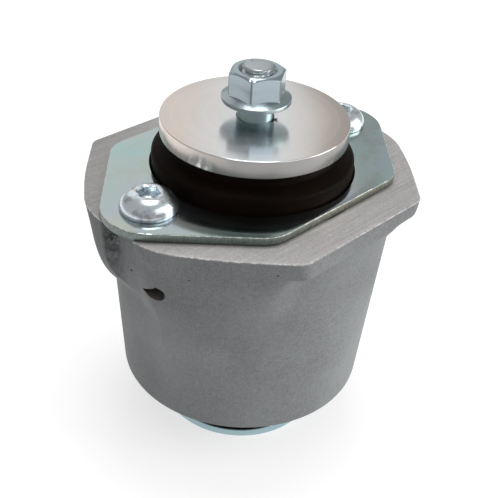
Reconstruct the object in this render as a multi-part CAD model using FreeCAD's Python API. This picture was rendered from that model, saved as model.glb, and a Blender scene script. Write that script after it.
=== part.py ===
import FreeCAD, Part
import math
import os

from FreeCAD import Vector

# Engine mount: a cast aluminium cup with two bolting ears holds a bonded rubber bush.
# A steel plate keeps the bush in, and a through bolt joins a disc above to a disc below.
# Millimetres. The origin is the bottom centre of the lower disc, +Z runs up the mount's axis,
# and the two screws lie on the X axis, with the front one on the -X side.

# Clearances
RUNNING_GAP = 0.3
BOLT_HOLE_GAP = 0.25
THREAD_GAP = 0.1
EDGE_BREAK = 0.4

# Lower disc
BOTTOM_DISC_DIAMETER = 55.5
BOTTOM_DISC_THICKNESS = 3.0

# Cast housing
HOUSING_HEIGHT = 75.0
HOUSING_LIFT = 14.0
BODY_TOP_RADIUS = 46.9
BODY_BOTTOM_RADIUS = 41.5
BODY_EDGE_RADIUS = 2.5
BORE_DIAMETER = 70.0
BORE_CHAMFER = 0.8
FLOOR_THICKNESS = 7.0
FLOOR_OPENING_DIAMETER = 52.0
FLOOR_EDGE_RADIUS = 1.2

# Flange on top of the housing, seen from above
FLANGE_HALF_WIDTH = 47.2
FLANGE_REACH = 54.9
FLANGE_END_ANGLE = 41.0
FLANGE_END_DISTANCE = 51.5
FLANGE_NEAR_END_INSET = 0.8
FLANGE_THICKNESS = 6.5
FLANGE_DRAFT = 0.25
FLANGE_END_DRAFT = 1.3
FLANGE_SIDE_CORNER_RADIUS = 4.5
FLANGE_NOSE_CORNER_RADIUS = 25.0
# Each slanted face is slightly convex: its middle's rise and its bend's radius are shares of its length
FLANGE_END_BULGE = 0.03
FLANGE_END_BEND = 3.0

# Ears that run down from the flange and fade into the body. Their foot lies inside the body's wall.
EAR_DEPTH = 31.5
EAR_FOOT_NOSE_INSET = 3.4
EAR_FOOT_END_INSET = 3.0
EAR_FOOT_HALF_WIDTH = 22.0
# Each row is a level between the flange's underside and the foot: the shares of the way down, of
# the nose's, the slanted faces' and the sides' way in, then nose corner and side corner radius.
EAR_LEVELS = (
    (0.0, 0.0, 0.0, 0.14, 25.0, 5.0),
    (0.21, 0.05, 0.15, 0.27, 19.0, 6.0),
    (0.38, 0.17, 0.31, 0.4, 14.0, 7.5),
    (0.54, 0.38, 0.49, 0.57, 12.0, 9.0),
    (0.68, 0.63, 0.68, 0.74, 12.0, 9.5),
    (0.84, 0.88, 0.88, 0.88, 9.5, 8.0),
    (1.0, 1.0, 1.0, 1.0, 6.5, 5.5),
)

# Upright relief in the nose of each ear
NOSE_GROOVE_RADIUS = 7.4
NOSE_GROOVE_DEPTH = 4.2
NOSE_GROOVE_LENGTH = 24.0

# Screws and their tapped holes
SCREW_DISTANCE = 42.86
SCREW_THREAD_DIAMETER = 10.0
SCREW_LENGTH = 16.0
SCREW_HEAD_DIAMETER = 17.5
SCREW_HEAD_HEIGHT = 5.5
SCREW_HEAD_RIM = 0.9
SCREW_CROWN_FLAT_DIAMETER = 8.6
SCREW_DOME_BULGE = 1.0
SCREW_SOCKET_WIDTH = 6.0
SCREW_SOCKET_DEPTH = 3.1
SCREW_SOCKET_FLOOR_ANGLE = 30.0
SCREW_POINT_CHAMFER = 1.0
TAPPED_HOLE_DEPTH = 22.5
DRILL_POINT_ANGLE = 118.0

# Window through the front ear into its tapped hole
WINDOW_ANGLE = 48.5
WINDOW_SIDE_OFFSET = 1.6
WINDOW_DEPTH_BELOW_FLANGE = 17.5
WINDOW_WIDTH = 6.8
WINDOW_HEIGHT = 5.8
WINDOW_ROUND_RADIUS = 2.8
WINDOW_TIP_DROP = 1.0
WINDOW_SILL_END = 1.4

# Retaining plate
PLATE_THICKNESS = 3.0
PLATE_NEAR_WIDTH = 35.9
PLATE_FAR_WIDTH = 37.2
PLATE_END_ANGLE = 43.5
PLATE_END_MARGIN = 14.4
PLATE_NEAR_END_ANGLE = 45.8
PLATE_NEAR_END_MARGIN = 14.0
PLATE_NOSE_RADIUS = 15.5
PLATE_SIDE_CORNER_RADIUS = 11.0
PLATE_HOLE_DIAMETER = 64.8

# Rubber bush with its bonded metal parts
SLEEVE_WALL = 1.5
CORE_DIAMETER = 24.0
BUSH_TOP_STEP = 4.6
BUSH_LIP_RADIUS = 1.6
BUSH_TOP_RISE = 2.6
BUSH_SHOULDER_RADIUS = 27.2
BUSH_TOP_RADIUS = 25.6
BUSH_FOOT_RADIUS = 24.0
BUSH_FOOT_ROUND = 3.0

# Upper disc
TOP_DISC_DIAMETER = 59.1
TOP_DISC_THICKNESS = 5.8
TOP_DISC_LIFT = 13.5

# Through bolt and its nut
SHANK_DIAMETER = 11.4
NECK_HEIGHT = 5.4
BOLT_THREAD_DIAMETER = 10.0
BOLT_END_ABOVE_NUT = 1.3
BOLT_END_CHAMFER = 0.85
BOLT_HEAD_DIAMETER = 20.0
BOLT_HEAD_LAND = 0.3
BOLT_SOCKET_WIDTH = 8.0
BOLT_SOCKET_DEPTH = 4.0
NUT_WIDTH = 16.0
NUT_HEIGHT = 10.0
NUT_FLANGE_DIAMETER = 21.8
NUT_FLANGE_RIM = 1.3
NUT_FLANGE_ANGLE = 22.0
NUT_FACE_DIAMETER = 15.2
NUT_CHAMFER_ANGLE = 30.0
NUT_BORE_CHAMFER = 0.9

# Levels worked out from the sizes above
HOUSING_BOTTOM = BOTTOM_DISC_THICKNESS + HOUSING_LIFT
FLANGE_TOP = HOUSING_BOTTOM + HOUSING_HEIGHT
FLOOR_TOP = HOUSING_BOTTOM + FLOOR_THICKNESS
PLATE_TOP = FLANGE_TOP + PLATE_THICKNESS
TOP_DISC_BOTTOM = FLANGE_TOP + TOP_DISC_LIFT
TOP_DISC_TOP = TOP_DISC_BOTTOM + TOP_DISC_THICKNESS
NUT_BOTTOM = TOP_DISC_TOP + NECK_HEIGHT
NUT_TOP = NUT_BOTTOM + NUT_HEIGHT
BOLT_TOP = NUT_TOP + BOLT_END_ABOVE_NUT
SLEEVE_TOP = FLANGE_TOP - RUNNING_GAP
TAPPED_HOLE_RADIUS = SCREW_THREAD_DIAMETER / 2 + THREAD_GAP
UP = Vector(0, 0, 1)


def revolved(points):
    """Closed solid turned about the mount's axis from (radius, height) corner points."""
    corners = [Vector(r, 0, z) for r, z in points]
    face = Part.Face(Part.makePolygon(corners + corners[:1]))
    return face.revolve(Vector(0, 0, 0), UP, 360)


def rod(radius, bottom, top, x=0.0, y=0.0):
    """Upright cylinder between two levels."""
    return Part.makeCylinder(radius, top - bottom, Vector(x, y, bottom), UP)


def rounded_outline(corners, height):
    """Closed wire through (x, y, radius) corners, each rounded by a tangent arc."""
    count = len(corners)
    starts = []
    ends = []
    middles = []
    for index, (x, y, radius) in enumerate(corners):
        here = Vector(x, y, height)
        before = Vector(corners[index - 1][0], corners[index - 1][1], height)
        after = Vector(corners[(index + 1) % count][0], corners[(index + 1) % count][1], height)
        back = (before - here).normalize()
        forth = (after - here).normalize()
        half = back.getAngle(forth) / 2
        reach = radius / math.tan(half)
        inward = (back + forth).normalize()
        starts.append(here + back * reach)
        ends.append(here + forth * reach)
        middles.append(here + inward * (radius / math.sin(half) - radius))
    edges = []
    for index in range(count):
        edges.append(Part.Arc(starts[index], middles[index], ends[index]).toShape())
        edges.append(Part.makeLine(ends[index], starts[(index + 1) % count]))
    return Part.Wire(edges)


def hexagon(width, bottom, height, x=0.0, y=0.0, turn=0.0):
    """Upright hexagonal prism, its width measured across the flats."""
    radius = width / math.sqrt(3)
    points = []
    for step in range(7):
        angle = math.radians(60 * step + turn)
        points.append(Vector(x + radius * math.cos(angle), y + radius * math.sin(angle), bottom))
    return Part.Face(Part.makePolygon(points)).extrude(Vector(0, 0, height))


def between(first, last, share):
    """Value that lies a share of the way from the first to the last."""
    return first + (last - first) * share


def edges_at(shape, level, least_radius=0.0, most_radius=1000.0):
    """Edges that lie wholly at one level, within a band of distances from the axis."""
    found = []
    for edge in shape.Edges:
        box = edge.BoundBox
        if abs(box.ZMin - level) > 0.001 or abs(box.ZMax - level) > 0.001:
            continue
        start = edge.Vertexes[0].Point
        distance = math.hypot(start.x, start.y)
        if least_radius <= distance <= most_radius:
            found.append(edge)
    return found


def slanted_face(reach, end_distance, half_width, nose_radius, side_radius):
    """Corners (x, y, radius) of one slanted face, from the nose over its raised middle to the side."""
    slant = math.radians(FLANGE_END_ANGLE)
    nose = (end_distance - reach * math.cos(slant)) / math.sin(slant)
    side = (end_distance - half_width * math.sin(slant)) / math.cos(slant)
    length = math.hypot(reach - side, half_width - nose)
    rise = FLANGE_END_BULGE * length
    middle_x = (reach + side) / 2 + rise * math.cos(slant)
    middle_y = (half_width + nose) / 2 + rise * math.sin(slant)
    return (
        (reach, nose, nose_radius),
        (middle_x, middle_y, FLANGE_END_BEND * length),
        (side, half_width, side_radius),
    )


def flange_outline(depth, reach, end_distance, half_width, nose_radius, side_radius):
    """Outline of the flange and ears at one depth: two sides, four slanted faces, two noses."""
    corners = []
    for side_x, side_y in ((1, 1), (-1, 1), (-1, -1), (1, -1)):
        is_near = side_x < 0 and side_y < 0
        distance = end_distance - FLANGE_NEAR_END_INSET if is_near else end_distance
        face = slanted_face(reach, distance, half_width, nose_radius, side_radius)
        if side_x * side_y < 0:
            face = reversed(face)
        corners += [(side_x * x, side_y * y, radius) for x, y, radius in face]
    return rounded_outline(corners, FLANGE_TOP - depth)


def housing_body():
    """Tapered cup before its bore is cut, with the bottom edge rounded."""
    cone = Part.makeCone(BODY_BOTTOM_RADIUS, BODY_TOP_RADIUS, HOUSING_HEIGHT, Vector(0, 0, HOUSING_BOTTOM), UP)
    return cone.makeFillet(BODY_EDGE_RADIUS, edges_at(cone, HOUSING_BOTTOM))


def body_radius(depth):
    """Radius of the tapered body at one depth below the flange top."""
    return between(BODY_TOP_RADIUS, BODY_BOTTOM_RADIUS, depth / HOUSING_HEIGHT)


def ear_outline(down_share, nose_share, end_share, side_share, nose_radius, side_radius):
    """Outline of the ears at one level between the flange's underside and their foot."""
    wall = body_radius(FLANGE_THICKNESS + EAR_DEPTH)
    return flange_outline(
        FLANGE_THICKNESS + EAR_DEPTH * down_share,
        between(FLANGE_REACH - FLANGE_DRAFT, wall - EAR_FOOT_NOSE_INSET, nose_share),
        between(FLANGE_END_DISTANCE - FLANGE_END_DRAFT, wall - EAR_FOOT_END_INSET, end_share),
        between(FLANGE_HALF_WIDTH - FLANGE_DRAFT, EAR_FOOT_HALF_WIDTH, side_share),
        nose_radius,
        side_radius,
    )


def housing_flange():
    """Flange slab, and below it the ears that narrow level by level until they meet the body."""
    top = flange_outline(
        0.0,
        FLANGE_REACH,
        FLANGE_END_DISTANCE,
        FLANGE_HALF_WIDTH,
        FLANGE_NOSE_CORNER_RADIUS,
        FLANGE_SIDE_CORNER_RADIUS,
    )
    under = flange_outline(
        FLANGE_THICKNESS,
        FLANGE_REACH - FLANGE_DRAFT,
        FLANGE_END_DISTANCE - FLANGE_END_DRAFT,
        FLANGE_HALF_WIDTH - FLANGE_DRAFT,
        FLANGE_NOSE_CORNER_RADIUS,
        FLANGE_SIDE_CORNER_RADIUS,
    )
    slab = Part.makeLoft([top, under], True, True)
    wires = [ear_outline(*level) for level in EAR_LEVELS]
    ears = Part.makeLoft(wires, True, False)
    return slab.fuse(ears)


def tapped_hole(x):
    """Blind drilled hole for one screw, with the cone that the drill leaves."""
    bottom = FLANGE_TOP - TAPPED_HOLE_DEPTH
    point = TAPPED_HOLE_RADIUS / math.tan(math.radians(DRILL_POINT_ANGLE / 2))
    hole = rod(TAPPED_HOLE_RADIUS, bottom, FLANGE_TOP + 1, x)
    tip = Part.makeCone(0, TAPPED_HOLE_RADIUS, point, Vector(x, 0, bottom - point), UP)
    return hole.fuse(tip)


def nose_groove(side):
    """Upright relief down the nose of one ear."""
    axis_x = side * (FLANGE_REACH - NOSE_GROOVE_DEPTH + NOSE_GROOVE_RADIUS)
    return rod(NOSE_GROOVE_RADIUS, FLANGE_TOP - NOSE_GROOVE_LENGTH, FLANGE_TOP + 1, axis_x)


def ear_window():
    """Drop-shaped duct from the front ear's outside to the middle of its tapped hole."""
    half_width = WINDOW_WIDTH / 2
    half_height = WINDOW_HEIGHT / 2
    # Outline across the duct, pointed at the far side and round at the near side
    tip = Vector(0, half_width, -WINDOW_TIP_DROP)
    top_start = Vector(0, WINDOW_ROUND_RADIUS - half_width, half_height)
    round_middle = Vector(0, -half_width, half_height - WINDOW_ROUND_RADIUS)
    low_end = Vector(0, WINDOW_ROUND_RADIUS - half_width, -half_height)
    low_start = Vector(0, WINDOW_SILL_END, -half_height)
    edges = [
        Part.makeLine(tip, top_start),
        Part.Arc(top_start, round_middle, low_end).toShape(),
        Part.makeLine(low_end, low_start),
        Part.makeLine(low_start, tip),
    ]
    duct = Part.Face(Part.Wire(edges)).extrude(Vector(-FLANGE_REACH, 0, 0))
    duct.translate(Vector(0, -WINDOW_SIDE_OFFSET, FLANGE_TOP - WINDOW_DEPTH_BELOW_FLANGE))
    duct.rotate(Vector(0, 0, 0), UP, WINDOW_ANGLE)
    duct.translate(Vector(-SCREW_DISTANCE, 0, 0))
    return duct


def make_housing():
    shape = housing_body().fuse(housing_flange())
    shape = shape.removeSplitter()
    shape = shape.cut(rod(BORE_DIAMETER / 2, FLOOR_TOP, FLANGE_TOP + 1))
    shape = shape.cut(rod(FLOOR_OPENING_DIAMETER / 2, HOUSING_BOTTOM - 1, FLOOR_TOP + 1))
    for side in (-1, 1):
        shape = shape.cut(nose_groove(side))
        shape = shape.cut(tapped_hole(side * SCREW_DISTANCE))
    shape = shape.cut(ear_window())
    mouth = edges_at(shape, FLANGE_TOP, BORE_DIAMETER / 2 - 0.1, BORE_DIAMETER / 2 + 0.1)
    shape = shape.makeChamfer(BORE_CHAMFER, mouth)
    opening = edges_at(shape, HOUSING_BOTTOM, 0, FLOOR_OPENING_DIAMETER / 2 + 0.1)
    return shape.makeFillet(FLOOR_EDGE_RADIUS, opening)


def crossing(first, second):
    """Point where two straight sides meet, each given by its outward angle and its distance."""
    a = math.radians(first[0])
    b = math.radians(second[0])
    spread = math.sin(b - a)
    x = (first[1] * math.sin(b) - second[1] * math.sin(a)) / spread
    y = (second[1] * math.cos(a) - first[1] * math.cos(b)) / spread
    return x, y


def plate_outline():
    """The sheet's six sides; the one by the front screw that faces the near side lies closer in."""
    end = SCREW_DISTANCE * math.cos(math.radians(PLATE_END_ANGLE)) + PLATE_END_MARGIN
    near_end = SCREW_DISTANCE * math.cos(math.radians(PLATE_NEAR_END_ANGLE)) + PLATE_NEAR_END_MARGIN
    # Outward angle and distance of each side, and the radius of the corner that follows it
    sides = (
        (-PLATE_END_ANGLE, end, PLATE_NOSE_RADIUS),
        (PLATE_END_ANGLE, end, PLATE_SIDE_CORNER_RADIUS),
        (90.0, PLATE_FAR_WIDTH, PLATE_SIDE_CORNER_RADIUS),
        (180.0 - PLATE_END_ANGLE, end, PLATE_NOSE_RADIUS),
        (180.0 + PLATE_NEAR_END_ANGLE, near_end, PLATE_SIDE_CORNER_RADIUS),
        (270.0, PLATE_NEAR_WIDTH, PLATE_SIDE_CORNER_RADIUS),
    )
    corners = []
    for index, side in enumerate(sides):
        x, y = crossing(side, sides[(index + 1) % len(sides)])
        corners.append((x, y, side[2]))
    return rounded_outline(corners, FLANGE_TOP)


def make_retaining_plate():
    outline = plate_outline()
    plate = Part.Face(outline).extrude(Vector(0, 0, PLATE_THICKNESS))
    outer_top = edges_at(plate, PLATE_TOP)
    plate = plate.makeChamfer(EDGE_BREAK, outer_top)
    plate = plate.cut(rod(PLATE_HOLE_DIAMETER / 2, FLANGE_TOP - 1, PLATE_TOP + 1))
    for side in (-1, 1):
        hole_radius = SCREW_THREAD_DIAMETER / 2 + BOLT_HOLE_GAP
        plate = plate.cut(rod(hole_radius, FLANGE_TOP - 1, PLATE_TOP + 1, side * SCREW_DISTANCE))
    return plate


def make_button_screw(x, turn):
    """Domed socket screw whose head seats on the plate."""
    head_radius = SCREW_HEAD_DIAMETER / 2
    flat_radius = SCREW_CROWN_FLAT_DIAMETER / 2
    thread_radius = SCREW_THREAD_DIAMETER / 2
    rise = SCREW_HEAD_HEIGHT - SCREW_HEAD_RIM
    # The dome is an arc from the rim to the crown flat, a little fuller than a straight cone
    start = Vector(head_radius, 0, PLATE_TOP + SCREW_HEAD_RIM)
    end = Vector(flat_radius, 0, PLATE_TOP + SCREW_HEAD_HEIGHT)
    bulge = Vector(rise, 0, head_radius - flat_radius).normalize() * SCREW_DOME_BULGE
    dome = Part.Arc(start, (start + end) * 0.5 + bulge, end).toShape()
    low = PLATE_TOP - SCREW_LENGTH
    outline = [
        Vector(flat_radius, 0, PLATE_TOP + SCREW_HEAD_HEIGHT),
        Vector(0, 0, PLATE_TOP + SCREW_HEAD_HEIGHT),
        Vector(0, 0, low),
        Vector(thread_radius - SCREW_POINT_CHAMFER, 0, low),
        Vector(thread_radius, 0, low + SCREW_POINT_CHAMFER),
        Vector(thread_radius, 0, PLATE_TOP),
        Vector(head_radius, 0, PLATE_TOP),
        start,
    ]
    wire = Part.Wire([dome] + Part.makePolygon(outline).Edges)
    screw = Part.Face(wire).revolve(Vector(0, 0, 0), UP, 360)
    socket_floor = PLATE_TOP + SCREW_HEAD_HEIGHT - SCREW_SOCKET_DEPTH
    screw = screw.cut(hexagon(SCREW_SOCKET_WIDTH, socket_floor, SCREW_SOCKET_DEPTH + 1, turn=turn))
    cone_height = SCREW_SOCKET_WIDTH / 2 * math.tan(math.radians(SCREW_SOCKET_FLOOR_ANGLE))
    cone = Part.makeCone(0, SCREW_SOCKET_WIDTH / 2, cone_height, Vector(0, 0, socket_floor - cone_height), UP)
    screw = screw.cut(cone)
    screw.translate(Vector(x, 0, 0))
    return screw


def make_outer_sleeve():
    outside = BORE_DIAMETER / 2
    return rod(outside, FLOOR_TOP, SLEEVE_TOP).cut(rod(outside - SLEEVE_WALL, FLOOR_TOP - 1, SLEEVE_TOP + 1))


def make_centre_core():
    """Steel tube bonded in the rubber; its lower end is countersunk for the bolt's head."""
    outside = CORE_DIAMETER / 2
    inside = SHANK_DIAMETER / 2 + BOLT_HOLE_GAP
    tube = rod(outside, BOTTOM_DISC_THICKNESS, TOP_DISC_BOTTOM)
    tube = tube.cut(rod(inside, 0, TOP_DISC_BOTTOM + 1))
    return tube.cut(bolt_head_cone(BOLT_HOLE_GAP))


def make_rubber_bush():
    """Rubber turned round the core: foot below the floor, filled bore, stepped crown above the plate."""
    core = CORE_DIAMETER / 2
    bore = BORE_DIAMETER / 2 - SLEEVE_WALL
    neck = FLOOR_OPENING_DIAMETER / 2 - RUNNING_GAP
    crown = PLATE_HOLE_DIAMETER / 2 - RUNNING_GAP
    step = PLATE_TOP + BUSH_TOP_STEP
    shoulder = step + BUSH_TOP_RISE
    foot = BOTTOM_DISC_THICKNESS
    lip = BUSH_LIP_RADIUS
    corner = lip * math.sqrt(0.5)
    path = [
        Part.makeLine(Vector(core, 0, TOP_DISC_BOTTOM), Vector(core, 0, foot)),
        Part.makeLine(Vector(core, 0, foot), Vector(BUSH_FOOT_RADIUS, 0, foot)),
        Part.makeLine(Vector(BUSH_FOOT_RADIUS, 0, foot), Vector(neck, 0, foot + BUSH_FOOT_ROUND)),
        Part.makeLine(Vector(neck, 0, foot + BUSH_FOOT_ROUND), Vector(neck, 0, FLOOR_TOP)),
        Part.makeLine(Vector(neck, 0, FLOOR_TOP), Vector(bore, 0, FLOOR_TOP)),
        Part.makeLine(Vector(bore, 0, FLOOR_TOP), Vector(bore, 0, SLEEVE_TOP)),
        Part.makeLine(Vector(bore, 0, SLEEVE_TOP), Vector(crown, 0, SLEEVE_TOP)),
        Part.makeLine(Vector(crown, 0, SLEEVE_TOP), Vector(crown, 0, step - lip)),
        Part.Arc(
            Vector(crown, 0, step - lip),
            Vector(crown - lip + corner, 0, step - lip + corner),
            Vector(crown - lip, 0, step),
        ).toShape(),
        Part.makeLine(Vector(crown - lip, 0, step), Vector(BUSH_SHOULDER_RADIUS, 0, shoulder)),
        Part.makeLine(Vector(BUSH_SHOULDER_RADIUS, 0, shoulder), Vector(BUSH_TOP_RADIUS, 0, TOP_DISC_BOTTOM)),
        Part.makeLine(Vector(BUSH_TOP_RADIUS, 0, TOP_DISC_BOTTOM), Vector(core, 0, TOP_DISC_BOTTOM)),
    ]
    return Part.Face(Part.Wire(path)).revolve(Vector(0, 0, 0), UP, 360)


def bolt_head_cone(gap):
    """Countersunk head at the bolt's lower end, or its seat where a gap is given."""
    head = BOLT_HEAD_DIAMETER / 2 + gap
    shank = SHANK_DIAMETER / 2 + gap
    land = BOLT_HEAD_LAND
    return revolved([(0, 0), (head, 0), (head, land), (shank, land + head - shank), (0, land + head - shank)])


def make_centre_bolt():
    shank = rod(SHANK_DIAMETER / 2, 0, NUT_BOTTOM)
    thread = rod(BOLT_THREAD_DIAMETER / 2, NUT_BOTTOM, BOLT_TOP)
    thread = thread.makeChamfer(BOLT_END_CHAMFER, edges_at(thread, BOLT_TOP))
    bolt = shank.fuse(thread).fuse(bolt_head_cone(0.0))
    bolt = bolt.cut(hexagon(BOLT_SOCKET_WIDTH, -1, BOLT_SOCKET_DEPTH + 1))
    return bolt.removeSplitter()


def make_bottom_disc():
    disc = rod(BOTTOM_DISC_DIAMETER / 2, 0, BOTTOM_DISC_THICKNESS)
    rims = edges_at(disc, 0) + edges_at(disc, BOTTOM_DISC_THICKNESS)
    disc = disc.makeChamfer(EDGE_BREAK, rims)
    return disc.cut(bolt_head_cone(BOLT_HOLE_GAP))


def make_top_disc():
    disc = rod(TOP_DISC_DIAMETER / 2, TOP_DISC_BOTTOM, TOP_DISC_TOP)
    rims = edges_at(disc, TOP_DISC_BOTTOM) + edges_at(disc, TOP_DISC_TOP)
    disc = disc.makeChamfer(EDGE_BREAK, rims)
    return disc.cut(rod(SHANK_DIAMETER / 2 + BOLT_HOLE_GAP, TOP_DISC_BOTTOM - 1, TOP_DISC_TOP + 1))


def make_flange_nut(turn):
    """Hexagon nut with a sloping flange; its corners are chamfered at the top."""
    rim = NUT_FLANGE_DIAMETER / 2
    corner = NUT_WIDTH / math.sqrt(3)
    slope = math.tan(math.radians(NUT_FLANGE_ANGLE))
    bore = BOLT_THREAD_DIAMETER / 2 + THREAD_GAP
    flange_top = NUT_BOTTOM + NUT_FLANGE_RIM
    flange = revolved([
        (0, NUT_BOTTOM),
        (rim - EDGE_BREAK, NUT_BOTTOM),
        (rim, NUT_BOTTOM + EDGE_BREAK),
        (rim, flange_top),
        (bore, flange_top + (rim - bore) * slope),
        (0, flange_top + (rim - bore) * slope),
    ])
    face = NUT_FACE_DIAMETER / 2
    drop = (corner - face) * math.tan(math.radians(NUT_CHAMFER_ANGLE))
    chamfer = revolved([
        (0, NUT_BOTTOM),
        (corner, NUT_BOTTOM),
        (corner, NUT_TOP - drop),
        (face, NUT_TOP),
        (0, NUT_TOP),
    ])
    nut = hexagon(NUT_WIDTH, NUT_BOTTOM, NUT_HEIGHT, turn=turn).common(chamfer).fuse(flange)
    nut = nut.cut(rod(bore, NUT_BOTTOM - 1, NUT_TOP + 1))
    mouth = bore + NUT_BORE_CHAMFER
    countersink = Part.makeCone(bore, mouth, NUT_BORE_CHAMFER, Vector(0, 0, NUT_TOP - NUT_BORE_CHAMFER), UP)
    return nut.cut(countersink)


def main():
    os.makedirs("parts", exist_ok=True)
    parts = {
        "housing": make_housing(),
        "retaining_plate": make_retaining_plate(),
        "front_screw": make_button_screw(-SCREW_DISTANCE, 10.0),
        "rear_screw": make_button_screw(SCREW_DISTANCE, 35.0),
        "outer_sleeve": make_outer_sleeve(),
        "rubber_bush": make_rubber_bush(),
        "centre_core": make_centre_core(),
        "bottom_disc": make_bottom_disc(),
        "top_disc": make_top_disc(),
        "centre_bolt": make_centre_bolt(),
        "flange_nut": make_flange_nut(32.6),
    }
    for name, shape in parts.items():
        shape.exportStep("parts/" + name + ".step")
        print(name, "solids", len(shape.Solids), "valid", shape.isValid(), "volume", round(shape.Volume, 1))


main()
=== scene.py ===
import cmath
import math

import bmesh
import bpy
import numpy as np
from mathutils import Matrix, Vector


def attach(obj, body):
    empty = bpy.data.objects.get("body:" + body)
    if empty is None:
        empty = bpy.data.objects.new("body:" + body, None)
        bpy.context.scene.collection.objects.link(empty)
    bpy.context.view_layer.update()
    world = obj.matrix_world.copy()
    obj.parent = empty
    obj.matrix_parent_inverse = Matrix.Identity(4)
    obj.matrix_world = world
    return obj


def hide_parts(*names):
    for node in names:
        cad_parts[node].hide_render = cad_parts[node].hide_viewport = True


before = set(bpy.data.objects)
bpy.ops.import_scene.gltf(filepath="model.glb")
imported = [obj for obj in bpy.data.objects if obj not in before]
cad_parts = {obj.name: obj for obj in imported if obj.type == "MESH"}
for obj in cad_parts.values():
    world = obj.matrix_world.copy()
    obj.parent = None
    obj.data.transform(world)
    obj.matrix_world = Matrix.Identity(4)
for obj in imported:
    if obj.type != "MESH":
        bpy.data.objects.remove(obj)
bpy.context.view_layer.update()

# The mount's visible pieces, dressed round its solids. Lengths are in millimetres and become
# metres where a mesh is made. The frame is the solids' own: +Z up, screws on X, front screw at -X.
MM = 0.001

# Levels above the lower disc's bottom face
LOWER_DISC_TOP = 3.0
FLOOR_TOP = 24.0
FLANGE_TOP = 92.0
PLATE_TOP = 95.0
DISC_BOTTOM = 105.5
DISC_TOP = 111.3
NUT_BOTTOM = 116.7
NUT_TOP = 126.7
BOLT_TOP = 128.0

# Cast housing
BODY_TOP_RADIUS = 46.9
BODY_BOTTOM_RADIUS = 41.5
BODY_EDGE_RADIUS = 2.5
HOUSING_HEIGHT = 75.0
BORE_RADIUS = 35.0
FLOOR_OPENING_RADIUS = 26.0
FLOOR_EDGE_RADIUS = 1.2
BORE_CHAMFER = 0.8

# Flange and ears
FLANGE_HALF_WIDTH = 47.2
FLANGE_REACH = 54.9
FLANGE_END_ANGLE = 41.0
FLANGE_END_DISTANCE = 51.5
FLANGE_NEAR_INSET = 0.8
FLANGE_THICKNESS = 6.5
FLANGE_DRAFT = 0.25
FLANGE_END_DRAFT = 1.3
FLANGE_NOSE_RADIUS = 25.0
FLANGE_SIDE_RADIUS = 4.5
END_BULGE = 0.03
END_BEND = 3.0
EAR_DEPTH = 31.5
EAR_FOOT_HALF_WIDTH = 22.0
EAR_FOOT_NOSE_INSET = 3.4
EAR_FOOT_END_INSET = 3.0
# Shares of the way down, of the nose's, slanted faces' and sides' way in, and two corner radii
EAR_LEVELS = (
    (0.0, 0.0, 0.0, 0.14, 25.0, 5.0),
    (0.21, 0.05, 0.15, 0.27, 19.0, 6.0),
    (0.38, 0.17, 0.31, 0.4, 14.0, 7.5),
    (0.54, 0.38, 0.49, 0.57, 12.0, 9.0),
    (0.68, 0.63, 0.68, 0.74, 12.0, 9.5),
    (0.84, 0.88, 0.88, 0.88, 9.5, 8.0),
    (1.0, 1.0, 1.0, 1.0, 6.5, 5.5),
)
GROOVE_RADIUS = 7.4
GROOVE_DEPTH = 4.2
GROOVE_AXIS_X = FLANGE_REACH - GROOVE_DEPTH + GROOVE_RADIUS
# Depths of the flange's lower lip and of the wall below the ears in which they fade out
LIP_DEPTH = 6.2
FADE_DEPTH = 27.0
# The flange's corner whose lower edge is rounded off, near its right end in the photo
WORN_CORNER_ANGLE = 305.0
WORN_CORNER_CUT = 2.5

# Screws, their holes and the window in the front ear
SCREW_X = 42.86
FRONT_SCREW_TURN = 10.0
REAR_SCREW_TURN = 35.0
SCREW_LENGTH = 16.0
SCREW_HEAD_RADIUS = 8.75
SCREW_HEAD_HEIGHT = 5.5
SCREW_HEAD_RIM = 0.9
SCREW_CROWN_RADIUS = 4.3
SCREW_DOME_BULGE = 1.0
SCREW_SOCKET_WIDTH = 6.0
SCREW_SOCKET_DEPTH = 3.1
THREAD_RADIUS = 5.0
THREAD_PITCH = 1.5
THREAD_DEPTH = 0.9
TAPPED_RADIUS = 5.1
TAPPED_DEPTH = 22.5
DRILL_POINT = 3.06
WINDOW_ANGLE = 48.5
WINDOW_SIDE_OFFSET = 1.6
WINDOW_DEPTH = 17.5
WINDOW_HALF_WIDTH = 3.4
WINDOW_HALF_HEIGHT = 2.9
WINDOW_ROUND_RADIUS = 2.8
WINDOW_TIP_DROP = 2.2
WINDOW_SILL_END = 1.4

# Retaining plate
PLATE_END_ANGLE = 43.5
PLATE_END_MARGIN = 14.4
PLATE_NEAR_END_ANGLE = 45.8
PLATE_NEAR_END_MARGIN = 14.0
PLATE_NEAR_WIDTH = 35.9
PLATE_FAR_WIDTH = 37.2
PLATE_NOSE_RADIUS = 15.5
PLATE_SIDE_CORNER_RADIUS = 11.0
PLATE_HOLE_RADIUS = 32.4
PLATE_SCREW_HOLE_RADIUS = 5.25
# Each (inset, drop) from the top down the rolled edge, and (inset, rise) down to the torn foot
PLATE_ROLLED_EDGE = ((0.24, 0.05), (0.09, 0.18), (0.02, 0.4), (0.02, 1.8), (0.1, 2.0))
PLATE_TORN_FOOT = ((0.16, 0.5), (0.35, 0.18), (0.75, 0.0))

# Discs and rubber bush
DISC_RADIUS = 29.55
DISC_BORE_RADIUS = 5.9
LOWER_DISC_RADIUS = 27.75
LOWER_DISC_GAP = 0.25
CORE_RADIUS = 12.0
SLEEVE_WALL = 1.5
BUSH_GAP = 0.3
BUSH_FOOT_RADIUS = 24.0
BUSH_FOOT_HEIGHT = 3.0
BUSH_STEP = PLATE_TOP + 4.6
BUSH_SHOULDER_RADIUS = 27.2
BUSH_SHOULDER_RISE = 2.6
BUSH_SEAT_RADIUS = 25.6

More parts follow.
